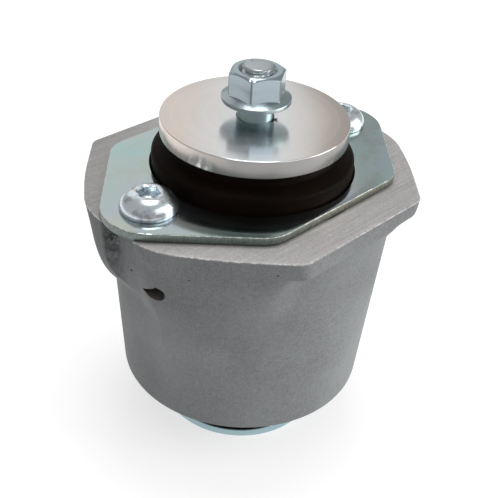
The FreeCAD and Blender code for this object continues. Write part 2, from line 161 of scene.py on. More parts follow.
# Through bolt and flange nut
SHANK_RADIUS = 5.7
BOLT_HEAD_RADIUS = 10.0
BOLT_HEAD_LAND = 0.3
BOLT_SOCKET_WIDTH = 8.0
BOLT_SOCKET_DEPTH = 4.0
NUT_TURN = 32.6
NUT_WIDTH = 16.0
NUT_FLANGE_RADIUS = 10.9
NUT_FLANGE_RIM = 1.3
NUT_FLANGE_ANGLE = 22.0
NUT_FACE_RADIUS = 7.6
NUT_CHAMFER_ANGLE = 30.0
NUT_THREAD_GAP = 0.12

# Mesh resolution
FINE_TURNED = 256
TURNED = 160
THREAD_SIDES = 96


def add_object(name, data):
    """New object in the scene."""
    obj = bpy.data.objects.new(name, data)
    bpy.context.scene.collection.objects.link(obj)
    return obj


def make_object(name, verts, faces, materials, sharp=30.0):
    """Mesh object from points in millimetres, smooth but for edges sharper than the angle."""
    mesh = bpy.data.meshes.new(name)
    mesh.from_pydata([(x * MM, y * MM, z * MM) for x, y, z in verts], [], faces)
    bm = bmesh.new()
    bm.from_mesh(mesh)
    bmesh.ops.remove_doubles(bm, verts=bm.verts, dist=1e-7)
    bmesh.ops.recalc_face_normals(bm, faces=bm.faces)
    bm.to_mesh(mesh)
    bm.free()
    shade(mesh, sharp)
    for material in materials:
        mesh.materials.append(material)
    return add_object(name, mesh)


def shade(mesh, sharp):
    mesh.polygons.foreach_set("use_smooth", [True] * len(mesh.polygons))
    mesh.set_sharp_from_angle(angle=math.radians(sharp))


def dress(obj, node):
    """Puts a visible piece in the place of one solid."""
    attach(obj, "root")
    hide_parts(node)


def arc(centre, arm, turn, steps):
    """Points got by turning an arm about a centre in equal steps, both as complex numbers."""
    points = [centre + arm * cmath.exp(1j * turn * step / steps) for step in range(steps + 1)]
    return [(point.real, point.imag) for point in points]


def tangent_arc(before, corner, after, radius, steps):
    """Points of the arc that rounds one corner of an outline."""
    back, here, forth = (complex(*point) for point in (before, corner, after))
    back = (back - here) / abs(back - here)
    forth = (forth - here) / abs(forth - here)
    half = abs(cmath.phase(forth / back)) / 2
    centre = here + (back + forth) / abs(back + forth) * radius / math.sin(half)
    start = here + back * radius / math.tan(half) - centre
    end = here + forth * radius / math.tan(half) - centre
    return arc(centre, start, cmath.phase(end / start), steps)


def rounded(points, steps):
    """Outline through (u, v, radius) points, with the radii rounded off."""
    out = []
    for index, (u, v, radius) in enumerate(points):
        if radius > 0:
            before = points[index - 1][:2]
            after = points[(index + 1) % len(points)][:2]
            out += tangent_arc(before, (u, v), after, radius, steps)
        else:
            out.append((u, v))
    return out


def arc_through(first, middle, last, steps):
    """Points on the arc from the first over the middle to the last point."""
    a, b, c = (complex(*point) for point in (first, middle, last))
    ratio = (c - a) / (b - a)
    centre = a + (b - a) * (ratio - abs(ratio) ** 2) / (2j * ratio.imag)
    turn = cmath.phase((b - centre) / (a - centre)) + cmath.phase((c - centre) / (b - centre))
    return arc(centre, a - centre, turn, steps)


def ring_body(name, levels, angles, materials, x=0.0, sharp=30.0, hollow=True):
    """Body from (radii, heights) levels round an upright axis at x.

    The last level of a hollow body joins its first; the other bodies start and end on their axis.
    """
    count = len(angles)
    total = len(levels)
    verts = []
    for radii, heights in levels:
        radii = np.broadcast_to(radii, angles.shape)
        heights = np.broadcast_to(heights, angles.shape)
        verts += [(r * math.cos(a) + x, r * math.sin(a), z) for r, z, a in zip(radii, heights, angles)]
    faces = []
    for row in range(total if hollow else total - 1):
        low = row * count
        high = (row + 1) % total * count
        for k in range(count):
            m = (k + 1) % count
            faces.append((low + k, low + m, high + m, high + k))
    return make_object(name, verts, faces, materials, sharp)


def raised(profile, base):
    """(radius, height) points lifted by a base level."""
    return [(radius, base + height) for radius, height in profile]


def even_angles(count, turn=0.0):
    return np.arange(count) * 2 * math.pi / count + turn


def paint_faces(obj, index, chosen):
    """Gives one of the object's materials to faces chosen by their middle's radius and height."""
    for face in obj.data.polygons:
        x, y, z = face.center / MM
        if chosen(math.hypot(x, y), z):
            face.material_index = index


def lathe(name, profile, material, segments=TURNED, steps=5):
    """Turned hollow body from a closed (radius, height, corner radius) profile."""
    return ring_body(name, rounded(profile, steps), even_angles(segments), [material])


def hexagon_radii(angles, width, turn, rounding):
    """Distance from a hexagon's middle to its outline, with its corners a little blunted."""
    local = (angles - turn) % (math.pi / 3) - math.pi / 6
    plain = width / 2 / np.cos(local)
    return np.minimum(plain, width / math.sqrt(3) - rounding)


def subtract(obj, cutters):
    """Cuts the cutters out of the object and keeps the result as its mesh."""
    for cutter in cutters:
        cut = obj.modifiers.new("cut", "BOOLEAN")
        cut.operation = "DIFFERENCE"
        cut.solver = "EXACT"
        cut.material_mode = "TRANSFER"
        cut.object = cutter
    graph = bpy.context.evaluated_depsgraph_get()
    mesh = bpy.data.meshes.new_from_object(obj.evaluated_get(graph))
    obj.modifiers.clear()
    obj.data = mesh
    for cutter in cutters:
        bpy.data.objects.remove(cutter)
    shade(mesh, 30)


def polar(corners, angles):
    """Radius of a convex outline of (x, y, radius) corners at each angle."""
    points = np.array(rounded(corners, 40))
    following = np.roll(points, -1, axis=0)
    shares = np.linspace(0, 1, 240, endpoint=False)[None, :, None]
    dense = (points[:, None] + (following - points)[:, None] * shares).reshape(-1, 2)
    around = np.arctan2(dense[:, 1], dense[:, 0])
    distance = np.hypot(dense[:, 0], dense[:, 1])
    return np.interp(angles, around, distance, period=2 * math.pi)


class Paint:
    """Builder for a procedural material with one Principled shader."""

    def __init__(self, name, base=(0.5, 0.5, 0.5), **values):
        self.material = bpy.data.materials.new(name)
        self.material.use_nodes = True
        self.nodes = self.material.node_tree.nodes
        self.shader = self.nodes["Principled BSDF"]
        self.use("Base Color", base)
        for key, value in values.items():
            self.use(key.replace("_", " "), value)
        self.place = self.node("ShaderNodeTexCoord").outputs["Object"]

    def plug(self, value, socket):
        """Links another node's output to the socket, or sets a plain value there."""
        if isinstance(value, bpy.types.NodeSocket):
            self.material.node_tree.links.new(value, socket)
        elif isinstance(value, tuple) and socket.type == "RGBA":
            socket.default_value = (*value, 1)
        else:
            socket.default_value = value

    def use(self, key, value):
        self.plug(value, self.shader.inputs[key])

    def node(self, kind, *values, **named):
        """New node, with its inputs filled in order or by name."""
        node = self.nodes.new(kind)
        for index, value in enumerate(values):
            self.plug(value, node.inputs[index])
        for key, value in named.items():
            self.plug(value, node.inputs[key.replace("_", " ")])
        return node

    def stretch(self, scale, move=(0, 0, 0)):
        """The place on the object, scaled and moved."""
        node = self.node("ShaderNodeMapping", Vector=self.place, Scale=scale, Location=move)
        return node.outputs["Vector"]

    def noise(self, scale, detail=2.0, rough=0.5, vector=None):
        node = self.node("ShaderNodeTexNoise", Scale=scale, Detail=detail, Roughness=rough)
        self.plug(vector or self.place, node.inputs["Vector"])
        return node.outputs["Fac"]

    def combine(self, operation, first, second=0.0):
        """Two values put through one of the Math node's operations."""
        node = self.node("ShaderNodeMath", first, second)
        node.operation = operation
        return node.outputs[0]

    def times(self, product, *factors):
        for factor in factors:
            product = self.combine("MULTIPLY", product, factor)
        return product

    def blend(self, first, second, share):
        """Weighted mean of two values."""
        return self.combine("ADD", self.times(first, 1 - share), self.times(second, share))

    def span(self, value, low, high, start=0.0, end=1.0):
        """Maps a value's range from low to high to start and end, and holds it beyond them."""
        limits = {"From Min": low, "From Max": high, "To Min": start, "To Max": end}
        return self.node("ShaderNodeMapRange", Value=value, **limits).outputs["Result"]

    def mix(self, share, first, second):
        node = self.node("ShaderNodeMix", Factor=share)
        node.data_type = "RGBA"
        self.plug(first, node.inputs[6])
        self.plug(second, node.inputs[7])
        return node.outputs[2]

    def ramp(self, share, stops):
        node = self.node("ShaderNodeValToRGB", share)
        while len(node.color_ramp.elements) < len(stops):
            node.color_ramp.elements.new(0.5)
        for element, (position, colour) in zip(node.color_ramp.elements, stops):
            element.position = position
            element.color = (*colour, 1)
        return node.outputs["Color"]

    def shades(self, share, colour, spread):
        """Ramp from a darker to a lighter shade of one colour."""
        dark = tuple(c * (1 - spread) for c in colour)
        light = tuple(min(c * (1 + spread), 1.0) for c in colour)
        return self.ramp(share, [(0.3, dark), (0.5, colour), (0.7, light)])

    def axes(self):
        """The place's X, Y and Z in metres."""
        return self.node("ShaderNodeSeparateXYZ", self.place).outputs[:3]

    def away(self, x, y):
        """Distance in metres from the upright line at (x, y) millimetres."""
        px, py = self.axes()[:2]
        dx = self.combine("SUBTRACT", px, x * MM)
        dy = self.combine("SUBTRACT", py, y * MM)
        squares = self.combine("ADD", self.times(dx, dx), self.times(dy, dy))
        return self.combine("SQRT", squares)

    def leftward(self):
        """Distance in metres from the axis towards the photo's left."""
        px, py = self.axes()[:2]
        return self.combine("SUBTRACT", self.times(py, 0.74), self.times(px, 0.68))

    def spot(self, x, y, z, radius):
        """1 inside a small ball about a point in millimetres, 0 outside."""
        node = self.node("ShaderNodeVectorMath", self.place, (x * MM, y * MM, z * MM))
        node.operation = "DISTANCE"
        return self.combine("LESS_THAN", node.outputs["Value"], radius * MM)

    def roughen(self, value, low, high):
        """Roughness that follows a noise between two limits."""
        self.use("Roughness", self.span(value, 0.3, 0.7, low, high))

    def relief(self, height, strength, distance):
        """Bumps of a height in millimetres."""
        node = self.node("ShaderNodeBump", Strength=strength, Distance=distance * MM, Height=height)
        self.use("Normal", node.outputs["Normal"])


BLACK = (0.0, 0.0, 0.0)

# Places and radii of the small black casting pits on the near side
CASTING_PITS = ((-50.8, -1.2, 76.9, 0.42), (-46.7, -21.9, 82.8, 0.26), (-30.9, -41.2, 87.5, 0.3))

# X, Y and radius of the lumps of a small black mark, which lies on the disc beside the bolt's neck
DARK_MARK_LUMPS = ((2.3, -5.8, 0.8), (3.2, -5.9, 0.5), (1.1, -6.3, 0.5), (2.2, -6.9, 0.5))


def groove_dirt_and_shade(paint, tone, py, height):
    """The casting's tone with grime and painted shade on the +Y side of its nose grooves."""
    groove = paint.combine("MINIMUM", paint.away(-GROOVE_AXIS_X, 0.6), paint.away(GROOVE_AXIS_X, 0.6))
    near_wall = paint.span(groove, 7.4 * MM, 8.4 * MM, 1.0, 0.0)
    across = paint.times(paint.span(py, 0.5 * MM, 5.5 * MM), paint.span(py, 8.5 * MM, 6.5 * MM))
    # Painted shade with some grime darkens the +Y side of the grooves
    dirt_and_shade = paint.times(near_wall, across)
    ragged = paint.noise(420.0, 4.0, 0.7)
    patch = paint.span(ragged, 0.35, 0.65, 0.25, 0.9)
    tone = paint.mix(paint.times(dirt_and_shade, patch), tone, (0.05, 0.05, 0.052))
    # A black ragged line of painted shade runs down the upper part of the darkened band
    line = paint.times(
        paint.span(py, 2.8 * MM, 3.8 * MM),
        paint.span(py, 6.2 * MM, 5.2 * MM),
        paint.span(height, 78 * MM, 86 * MM),
        paint.span(ragged, 0.42, 0.56),
        paint.span(groove, 8.0 * MM, 8.6 * MM, 1.0, 0.0),
    )
    return paint.mix(line, tone, (0.012, 0.012, 0.012))


def cast_paint():
    """As-cast aluminium: matte grey with a sandy grain, cloudy tone and a few dark pits, with painted
    shade on the ears, towards the left and in the nose grooves.
    """
    paint = Paint("cast_aluminium", Metallic=0.0, Roughness=0.62, Specular_IOR_Level=0.3)
    cloud = paint.noise(26.0, 3.0, 0.55)
    coarse = paint.noise(620.0, 3.0, 0.65)
    grain = paint.noise(1900.0, 2.0, 0.6)
    sand = paint.blend(coarse, grain, 0.6)
    py, height = paint.axes()[1:]
    tone = paint.shades(paint.blend(cloud, sand, 0.6), (0.315, 0.327, 0.333), 0.42)
    # Painted shade: the ears are a little darker than the cup below them, but not beside the front groove
    ear_shade = paint.span(height, 50 * MM, 72 * MM, 0.0, 0.17)
    ear_shade = paint.times(ear_shade, paint.span(paint.away(-51.0, 0.5), 4 * MM, 10 * MM, -0.35, 1.0))
    ear_shade = paint.combine("MAXIMUM", ear_shade, 0.0)
    tone = paint.mix(ear_shade, tone, BLACK)
    # Painted shade: the flange and the ear are darker still towards the view's left
    left_side_shade = paint.span(paint.leftward(), 30 * MM, 46 * MM)
    left_side_shade = paint.times(left_side_shade, paint.span(height, 55 * MM, 75 * MM))
    tone = paint.mix(paint.times(left_side_shade, 0.26), tone, BLACK)
    cells = paint.node("ShaderNodeTexVoronoi", Vector=paint.place, Scale=520.0)
    speck = paint.combine("LESS_THAN", cells.outputs["Distance"], 0.055)
    dark = paint.times(speck, paint.combine("GREATER_THAN", paint.noise(90.0, 1.0), 0.57))
    for x, y, z, radius in CASTING_PITS:
        dark = paint.combine("MAXIMUM", dark, paint.spot(x, y, z, radius))
    tone = groove_dirt_and_shade(paint, tone, py, height)
    paint.use("Base Color", paint.mix(dark, tone, (0.02, 0.018, 0.017)))
    paint.relief(paint.combine("SUBTRACT", sand, dark), 0.45, 0.22)
    paint.roughen(coarse, 0.55, 0.70)
    return paint.material


def milled_paint():
    """Milled top of the flange, its cutter marks along X, with painted shade darkening it towards the
    view's left and right.
    """
    paint = Paint("milled_aluminium", Metallic=0.35, Roughness=0.5, Specular_IOR_Level=0.4)
    lines = paint.noise(1.0, 2.0, 0.6, paint.stretch((60.0, 2300.0, 60.0)))
    grain = paint.noise(1700.0, 2.0, 0.6)
    cloud = paint.noise(40.0, 2.0)
    tone = paint.blend(paint.blend(lines, cloud, 0.3), grain, 0.45)
    # Painted shade: the milled top is darker towards the view's left and right
    left = paint.leftward()
    shade_at_left = paint.span(left, 20 * MM, 50 * MM, 0.0, 0.24)
    shade_at_right = paint.span(left, -25 * MM, -45 * MM, 0.0, 0.12)
    worn_and_end_shade = paint.combine("MAXIMUM", shade_at_left, shade_at_right)
    colour = paint.shades(tone, (0.50, 0.483, 0.476), 0.30)
    paint.use("Base Color", paint.mix(worn_and_end_shade, colour, BLACK))
    paint.relief(paint.blend(lines, grain, 0.6), 0.25, 0.10)
    paint.roughen(grain, 0.44, 0.58)
    return paint.material


def worn_highlight_line_paint(name, metallic, rough, scale, stops, relief):
    """Bright broken line along an edge, bright from wear and a painted highlight."""
    paint = Paint(name, Metallic=metallic, Roughness=rough)
    ragged = paint.noise(scale, 3.0, 0.7)
    paint.use("Base Color", paint.ramp(ragged, stops))
    paint.relief(ragged, *relief)
    return paint.material


def drilled_paint():
    """Drilled aluminium with rings from the drill, darkened as painted shade inside the holes."""
    paint = Paint("drilled_hole", Metallic=0.2, Roughness=0.5)
    rings = paint.noise(1.0, 2.0, 0.5, paint.stretch((40.0, 40.0, 2300.0)))
    paint.use("Base Color", paint.shades(rings, (0.15, 0.135, 0.127), 0.5))
    paint.relief(rings, 0.4, 0.1)
    return paint.material


def zinc_paint(name, colour, rough, hue_share, dimple=0.12, swing=1.0, right=None, stain=None):
    """Zinc plating with cloudy tone and a faint change of hue.

    Right is its lighter colour towards the view's right, a painted reflection; stain is its patches'
    scale, share and colour.
    """
    paint = Paint(name, Metallic=1.0, Roughness=rough)
    cloud = paint.noise(55.0, 3.0, 0.55)
    hue = paint.noise(38.0, 2.0, 0.5, paint.stretch((1, 1, 1), (3.1, 1.7, 0.4)))
    fine = paint.noise(1200.0, 2.0, 0.6)
    tone = paint.shades(cloud, colour, 0.08)
    shares = ((0.90, 1.04, 1.03), (1.03, 0.97, 1.10), (1.10, 1.03, 0.90))
    tints = [tuple(c * (1 + (part - 1) * swing) for c, part in zip(colour, share)) for share in shares]
    tint = paint.ramp(hue, [(0.35, tints[0]), (0.48, colour), (0.6, tints[1]), (0.74, tints[2])])
    tone = paint.mix(hue_share, tone, tint)
    # Painted reflection: a lighter, bluer colour towards the view's right
    if right:
        share = paint.span(paint.leftward(), -34 * MM, -46 * MM, 0.0, 0.85)
        tone = paint.mix(share, tone, right)
    if stain:
        patch_scale, stain_share, stain_colour = stain
        patch = paint.span(paint.noise(patch_scale, 3.0, 0.6), 0.48, 0.64, 0.0, stain_share)
        tone = paint.mix(patch, tone, stain_colour)
    paint.use("Base Color", tone)
    paint.relief(paint.blend(fine, cloud, 0.6), dimple, 0.1)
    paint.roughen(cloud, rough * 0.85, rough * 1.2)
    return paint.material


def sheared_paint():
    """Cut side of the plate: fine upright scores, with a painted shadow at its foot and painted light
    towards the view's right.
    """
    paint = Paint("sheared_edge", Metallic=1.0, Roughness=0.42)
    score = paint.noise(1.0, 3.0, 0.7, paint.stretch((2600.0, 2600.0, 500.0)))
    height = paint.axes()[2]
    # Painted shadow: darker at the foot, where the plate meets the flange
    foot = paint.span(height, (FLANGE_TOP + 0.4) * MM, (FLANGE_TOP + 1.1) * MM, 0.45, 0.0)
    # Painted light: lighter towards the view's right
    right = paint.span(paint.leftward(), -6 * MM, -24 * MM)
    front = paint.shades(score, (0.19, 0.225, 0.21), 0.3)
    tone = paint.mix(right, front, paint.shades(score, (0.28, 0.285, 0.24), 0.5))
    paint.use("Base Color", paint.mix(foot, tone, (0.04, 0.04, 0.038)))
    paint.relief(score, 0.35, 0.15)
    paint.roughen(score, 0.5, 0.36)
    return paint.material


def turned_paint(name, colour, reflection_colour, right_reflection_share):
    """Face-turned aluminium with fine rings round its axis.

    A painted reflection colour shows towards the view's left and, by the given share, towards its right.
    """
    paint = Paint(name, Metallic=1.0, Roughness=0.19, Anisotropic=0.85, Anisotropic_Rotation=0.25)
    radius = paint.away(0.0, 0.0)
    height = paint.axes()[2]
    circles = paint.node("ShaderNodeCombineXYZ", paint.times(radius, 4200.0))
    fine = paint.noise(1.0, 2.0, 0.6, circles.outputs[0])
    across = paint.times(radius, 600.0)
    bands = paint.node("ShaderNodeCombineXYZ", across, paint.times(height, 900.0), 3.0)
    broad = paint.noise(1.0, 2.0, 0.5, bands.outputs[0])
    cloud = paint.noise(40.0, 2.0)
    tone = paint.blend(paint.blend(fine, broad, 0.5), cloud, 0.35)
    # Painted reflection: the reflection colour towards the view's left and right
    left = paint.leftward()
    far = paint.span(left, -5 * MM, -22 * MM, 0.0, right_reflection_share)
    reflection_share = paint.combine("MAXIMUM", paint.span(left, 5 * MM, 22 * MM), far)
    middle = paint.shades(tone, colour, 0.07)
    metal = paint.mix(reflection_share, middle, paint.shades(tone, reflection_colour, 0.07))
    dark_mark = 0.0
    for x, y, radius in DARK_MARK_LUMPS:
        dark_mark = paint.combine("MAXIMUM", dark_mark, paint.spot(x, y, DISC_TOP, radius))
    paint.use("Base Color", paint.mix(dark_mark, metal, (0.02, 0.02, 0.018)))
    paint.roughen(broad, 0.175, 0.205)
    paint.relief(paint.blend(fine, broad, 0.6), 0.02, 0.04)
    tangent = paint.node("ShaderNodeTangent")
    tangent.direction_type = "RADIAL"
    tangent.axis = "Z"
    paint.use("Tangent", tangent.outputs[0])
    return paint.material


def rubber_paint():
    """Moulded black rubber with a fine grain."""
    paint = Paint("moulded_rubber", Metallic=0.0, Roughness=0.5, Specular_IOR_Level=0.04)
    cloud = paint.noise(60.0, 3.0)
    fine = paint.noise(900.0, 3.0, 0.6)
    paint.use("Base Color", paint.shades(cloud, (0.0048, 0.0022, 0.0012), 0.5))
    paint.roughen(fine, 0.42, 0.58)
    paint.relief(paint.blend(fine, cloud, 0.6), 0.14, 0.15)
    return paint.material


def steel_paint():
    """Drawn steel of the hidden tube and sleeve, with lines along their axis."""
    paint = Paint("drawn_steel", Metallic=1.0, Roughness=0.38)
    lines = paint.noise(1.0, 2.0, 0.5, paint.stretch((900.0, 900.0, 30.0)))
    cloud = paint.noise(50.0, 3.0)
    paint.use("Base Color", paint.shades(paint.blend(lines, cloud, 0.5), (0.42, 0.415, 0.41), 0.15))
    paint.relief(lines, 0.15, 0.1)
    paint.roughen(cloud, 0.32, 0.46)
    return paint.material


CAST = cast_paint()
MILLED = milled_paint()
# Bright from wear, with a painted highlight, along the flange's outer top edge
BURR_HIGHLIGHT_STOPS = ((0.40, (0.32, 0.31, 0.305)), (0.60, (0.66, 0.65, 0.64)))
BURR_HIGHLIGHT = worn_highlight_line_paint("worn_edge_highlight", 0.2, 0.5, 700.0, BURR_HIGHLIGHT_STOPS, (0.4, 0.15))
DRILLED = drilled_paint()
PLATE_STAIN = (120.0, 0.5, (0.46, 0.50, 0.44))
PLATE_RIGHT_REFLECTION = (0.61, 0.80, 0.84)
PLATE_ZINC = zinc_paint(
    "plate_zinc", (0.465, 0.548, 0.535), 0.14, 0.9, 0.09, 1.2, right=PLATE_RIGHT_REFLECTION, stain=PLATE_STAIN
)
SHEARED = sheared_paint()
# Bright from wear, with a painted highlight, along the plate's rolled top edge
ROLLED_HIGHLIGHT_STOPS = ((0.42, (0.30, 0.33, 0.30)), (0.58, (0.86, 0.88, 0.80)))
ROLLED_HIGHLIGHT = worn_highlight_line_paint("rolled_edge_highlight", 0.5, 0.4, 900.0, ROLLED_HIGHLIGHT_STOPS, (0.3, 0.1))
SCREW_STAIN = (260.0, 0.75, (0.36, 0.33, 0.36))
SCREW_ZINC = zinc_paint("screw_zinc", (0.77, 0.87, 0.90), 0.25, 0.25, 0.5, stain=SCREW_STAIN)
# Painted shade for the hexagon's blunted corners
NUT_CORNER_SHADE = zinc_paint("nut_corner_shade", (0.20, 0.25, 0.265), 0.4, 0.3, 0.2)
NUT_ZINC = zinc_paint("nut_zinc", (0.37, 0.445, 0.465), 0.25, 0.5, 0.4)
BOLT_ZINC = zinc_paint("bolt_zinc", (0.45, 0.49, 0.49), 0.30, 0.3, 0.2)
NECK_ZINC = zinc_paint("neck_zinc", (0.29, 0.385, 0.385), 0.28, 0.3, 0.3)
LOWER_ZINC = zinc_paint("lower_disc_zinc", (0.39, 0.54, 0.57), 0.25, 0.4)
TURNED_FACE = turned_paint("turned_face", (0.76, 0.79, 0.81), (0.71, 0.635, 0.58), 1.0)
TURNED_SIDE = turned_paint("turned_side", (0.31, 0.305, 0.298), (0.70, 0.64, 0.58), 0.05)
RUBBER = rubber_paint()
STEEL = steel_paint()


def between(first, last, share):
    return first + (last - first) * share


def wall_radius(depth):
    """Radius of the tapered cup at one depth below the flange top."""
    return between(BODY_TOP_RADIUS, BODY_BOTTOM_RADIUS, depth / HOUSING_HEIGHT)


def slanted_face(reach, end_distance, half_width, nose_radius, side_radius):
    """Corners of one slanted face, from the nose over its raised middle to the side."""
    slant = math.radians(FLANGE_END_ANGLE)
    nose = (end_distance - reach * math.cos(slant)) / math.sin(slant)
    side = (end_distance - half_width * math.sin(slant)) / math.cos(slant)
    length = math.hypot(reach - side, half_width - nose)
    middle_x = (reach + side) / 2 + END_BULGE * length * math.cos(slant)
    middle_y = (half_width + nose) / 2 + END_BULGE * length * math.sin(slant)
    return (
        (reach, nose, nose_radius),
        (middle_x, middle_y, END_BEND * length),
        (side, half_width, side_radius),
    )


def flange_radii(angles, reach, end_distance, half_width, nose_radius, side_radius):
    """Outline of the flange or ears as a radius at each angle."""
    corners = []
    for side_x, side_y in ((1, 1), (-1, 1), (-1, -1), (1, -1)):
        is_near = side_x < 0 and side_y < 0
        distance = end_distance - FLANGE_NEAR_INSET if is_near else end_distance
        face = slanted_face(reach, distance, half_width, nose_radius, side_radius)
        if side_x * side_y < 0:
            face = reversed(face)
        corners += [(side_x * x, side_y * y, radius) for x, y, radius in face]
    return polar(corners, angles)


def slab_radii(angles, share):
    """Outline of the flange at a share of its thickness below its top."""
    reach = FLANGE_REACH - FLANGE_DRAFT * share
    end_distance = FLANGE_END_DISTANCE - FLANGE_END_DRAFT * share
    half_width = FLANGE_HALF_WIDTH - FLANGE_DRAFT * share
    return flange_radii(angles, reach, end_distance, half_width, FLANGE_NOSE_RADIUS, FLANGE_SIDE_RADIUS)


def ear_radii(angles, nose_share, end_share, side_share, nose_radius, side_radius):
    wall = wall_radius(FLANGE_THICKNESS + EAR_DEPTH)
    return flange_radii(
        angles,
        between(FLANGE_REACH - FLANGE_DRAFT, wall - EAR_FOOT_NOSE_INSET, nose_share),
        between(FLANGE_END_DISTANCE - FLANGE_END_DRAFT, wall - EAR_FOOT_END_INSET, end_share),
        between(FLANGE_HALF_WIDTH - FLANGE_DRAFT, EAR_FOOT_HALF_WIDTH, side_share),
        nose_radius,
        side_radius,
    )


def soft_max(first, second, reach):
    """The larger of two radii, with a fillet of about the given reach where they meet."""
    share = np.clip(0.5 + 0.5 * (first - second) / reach, 0, 1)
    return second + (first - second) * share + reach * share * (1 - share)


def soft_min(first, second, reach):
    return -soft_max(-first, -second, reach)


def smooth_row(depths, rows, depth):
    """Row of radii at one depth, on a smooth curve through the given rows."""
    last = len(depths) - 1
    index = int(np.clip(np.searchsorted(depths, depth) - 1, 0, last - 1))
    before = max(index - 1, 0)
    after = min(index + 2, last)
    gap = depths[index + 1] - depths[index]
    t = (depth - depths[index]) / gap
    slope_in = (rows[index + 1] - rows[before]) / (depths[index + 1] - depths[before]) * gap
    slope_out = (rows[after] - rows[index]) / (depths[after] - depths[index]) * gap
    start = (2 * t ** 3 - 3 * t ** 2 + 1) * rows[index] + (t ** 3 - 2 * t ** 2 + t) * slope_in
    return start + (3 * t ** 2 - 2 * t ** 3) * rows[index + 1] + (t ** 3 - t ** 2) * slope_out


def blurred(radii, angles):
    """The radii averaged over some ten degrees to each side."""
    whole = np.radians(np.arange(0, 360, 0.5))
    even = np.interp(whole, angles, radii, period=2 * math.pi)
    weights = {step: math.exp(-((step / 14) ** 2)) for step in range(-30, 31)}
    total = sum(weight * np.roll(even, step) for step, weight in weights.items())
    return np.interp(angles, whole, total / sum(weights.values()), period=2 * math.pi)


def housing_angles():
    """Angles round the housing, closer together across the nose grooves."""
    tenths = set(range(0, 3600, 6))
    for middle in (0, 1800):
        tenths |= {(middle + k) % 3600 for k in range(-110, 111, 2)}
    return np.radians(np.array(sorted(tenths)) / 10.0)


def groove_radii(angles, smoothness):
    """Radius of each nose groove's wall: an arc with edges, or a shallow hollow where smooth.

    Beyond the arc the wall runs steeply outwards, clear of the flange.
    """
    off_nose = (angles + math.pi / 2) % math.pi - math.pi / 2
    across = GROOVE_AXIS_X * np.abs(np.sin(off_nose))
    depth = np.sqrt(np.clip(GROOVE_RADIUS ** 2 - across ** 2, 0, None))
    wall = GROOVE_AXIS_X * np.cos(off_nose) - depth
    wall += 3.0 * np.clip(across - GROOVE_RADIUS, 0, 20)
    hollow = GROOVE_AXIS_X - GROOVE_RADIUS + 0.035 * across ** 2
    return between(wall, hollow, smoothness)


def grooved(radii, angles, depth):
    """The radii at one depth below the flange top, cut by the nose grooves.

    The front groove's edge is sharp towards +Y and washed out towards -Y, more so further down.
    """
    washed = np.clip(-12 * np.sin(angles) + 0.25, 0, 1) * (np.cos(angles) < 0)
    groove = groove_radii(angles, washed * min(depth / 7, 1))
    return soft_min(radii, groove, 0.25 + washed * between(3.0, 7.0, min(depth / 10, 1)))


def slab_side(angles, depth, below):
    """Radii of the flange's side at one depth, with one corner's lower edge rounded off."""
    corner_share = np.clip(1.7 - np.abs(np.degrees(angles) - WORN_CORNER_ANGLE) / 13, 0, 1)
    sink = np.clip((depth - 4.0) / 2.5, 0, 1)
    plain = grooved(slab_radii(angles, depth / FLANGE_THICKNESS), angles, depth)
    worn_and_end_shade = plain - WORN_CORNER_CUT * corner_share * (1 - math.sqrt(1 - sink * sink))
    return np.maximum(worn_and_end_shade, np.minimum(plain, below))


def slab_levels(angles, below, lip):
    """Radii and depth of each ring over the flange's top edge and down its side."""
    top = grooved(slab_radii(angles, 0.0), angles, 0.0)
    levels = [(top - inset, depth) for inset, depth in ((1.4, 0.0), (0.3, 0.0), (0.1, 0.07), (0.0, 0.28))]
    levels += [(slab_side(angles, depth, below), depth) for depth in (0.8, 2.0, 4.0, 4.8, 5.4, 5.9)]
    # The lip is rounded only where the ears below it lie further in
    ledge = np.clip((lip - below) / 1.0, 0, 1)
    levels.append((lip - 0.08 * ledge, LIP_DEPTH))
    foot = slab_side(angles, FLANGE_THICKNESS, below)
    levels.append((np.minimum(foot, lip - 0.35 * ledge), FLANGE_THICKNESS))
    return levels


def ear_levels(angles, rows, lip):
    """Radii and depth of each ring down the ears, until they have faded into the cup's wall."""
    ear_depths = [FLANGE_THICKNESS + EAR_DEPTH * level[0] for level in EAR_LEVELS]
    # The front ear melts into the wall from its nose round to -Y; elsewhere its foot is crisper
    around = np.degrees(angles)
    melt = np.clip(np.minimum((around - 177.5) / 13, (254 - around) / 20), 0, 1)
    foot = FLANGE_THICKNESS + EAR_DEPTH
    fade_end = foot + FADE_DEPTH
    levels = []
    for depth in (*np.arange(FLANGE_THICKNESS + 0.05, 22.0, 0.7), *np.arange(22.0, fade_end, 1.2)):
        wall = wall_radius(depth)
        reach = np.clip(min((depth - 13) / 9, (fade_end - depth) / 24), 0, 1)
        fillet = 1.3 + melt * (1.7 * min((depth - FLANGE_THICKNESS) / 5, 1) + 8.0 * reach)
        ear = smooth_row(ear_depths, rows, min(depth, foot)) - 0.12 * max(depth - foot, 0.0)
        ear = ear + (blurred(ear, angles) - ear) * melt * np.clip((depth - 8) / 12, 0, 1)
        ear = grooved(ear, angles, depth)
        levels.append((np.minimum(soft_max(ear, wall, fillet), np.maximum(lip, wall)), depth))
    return levels


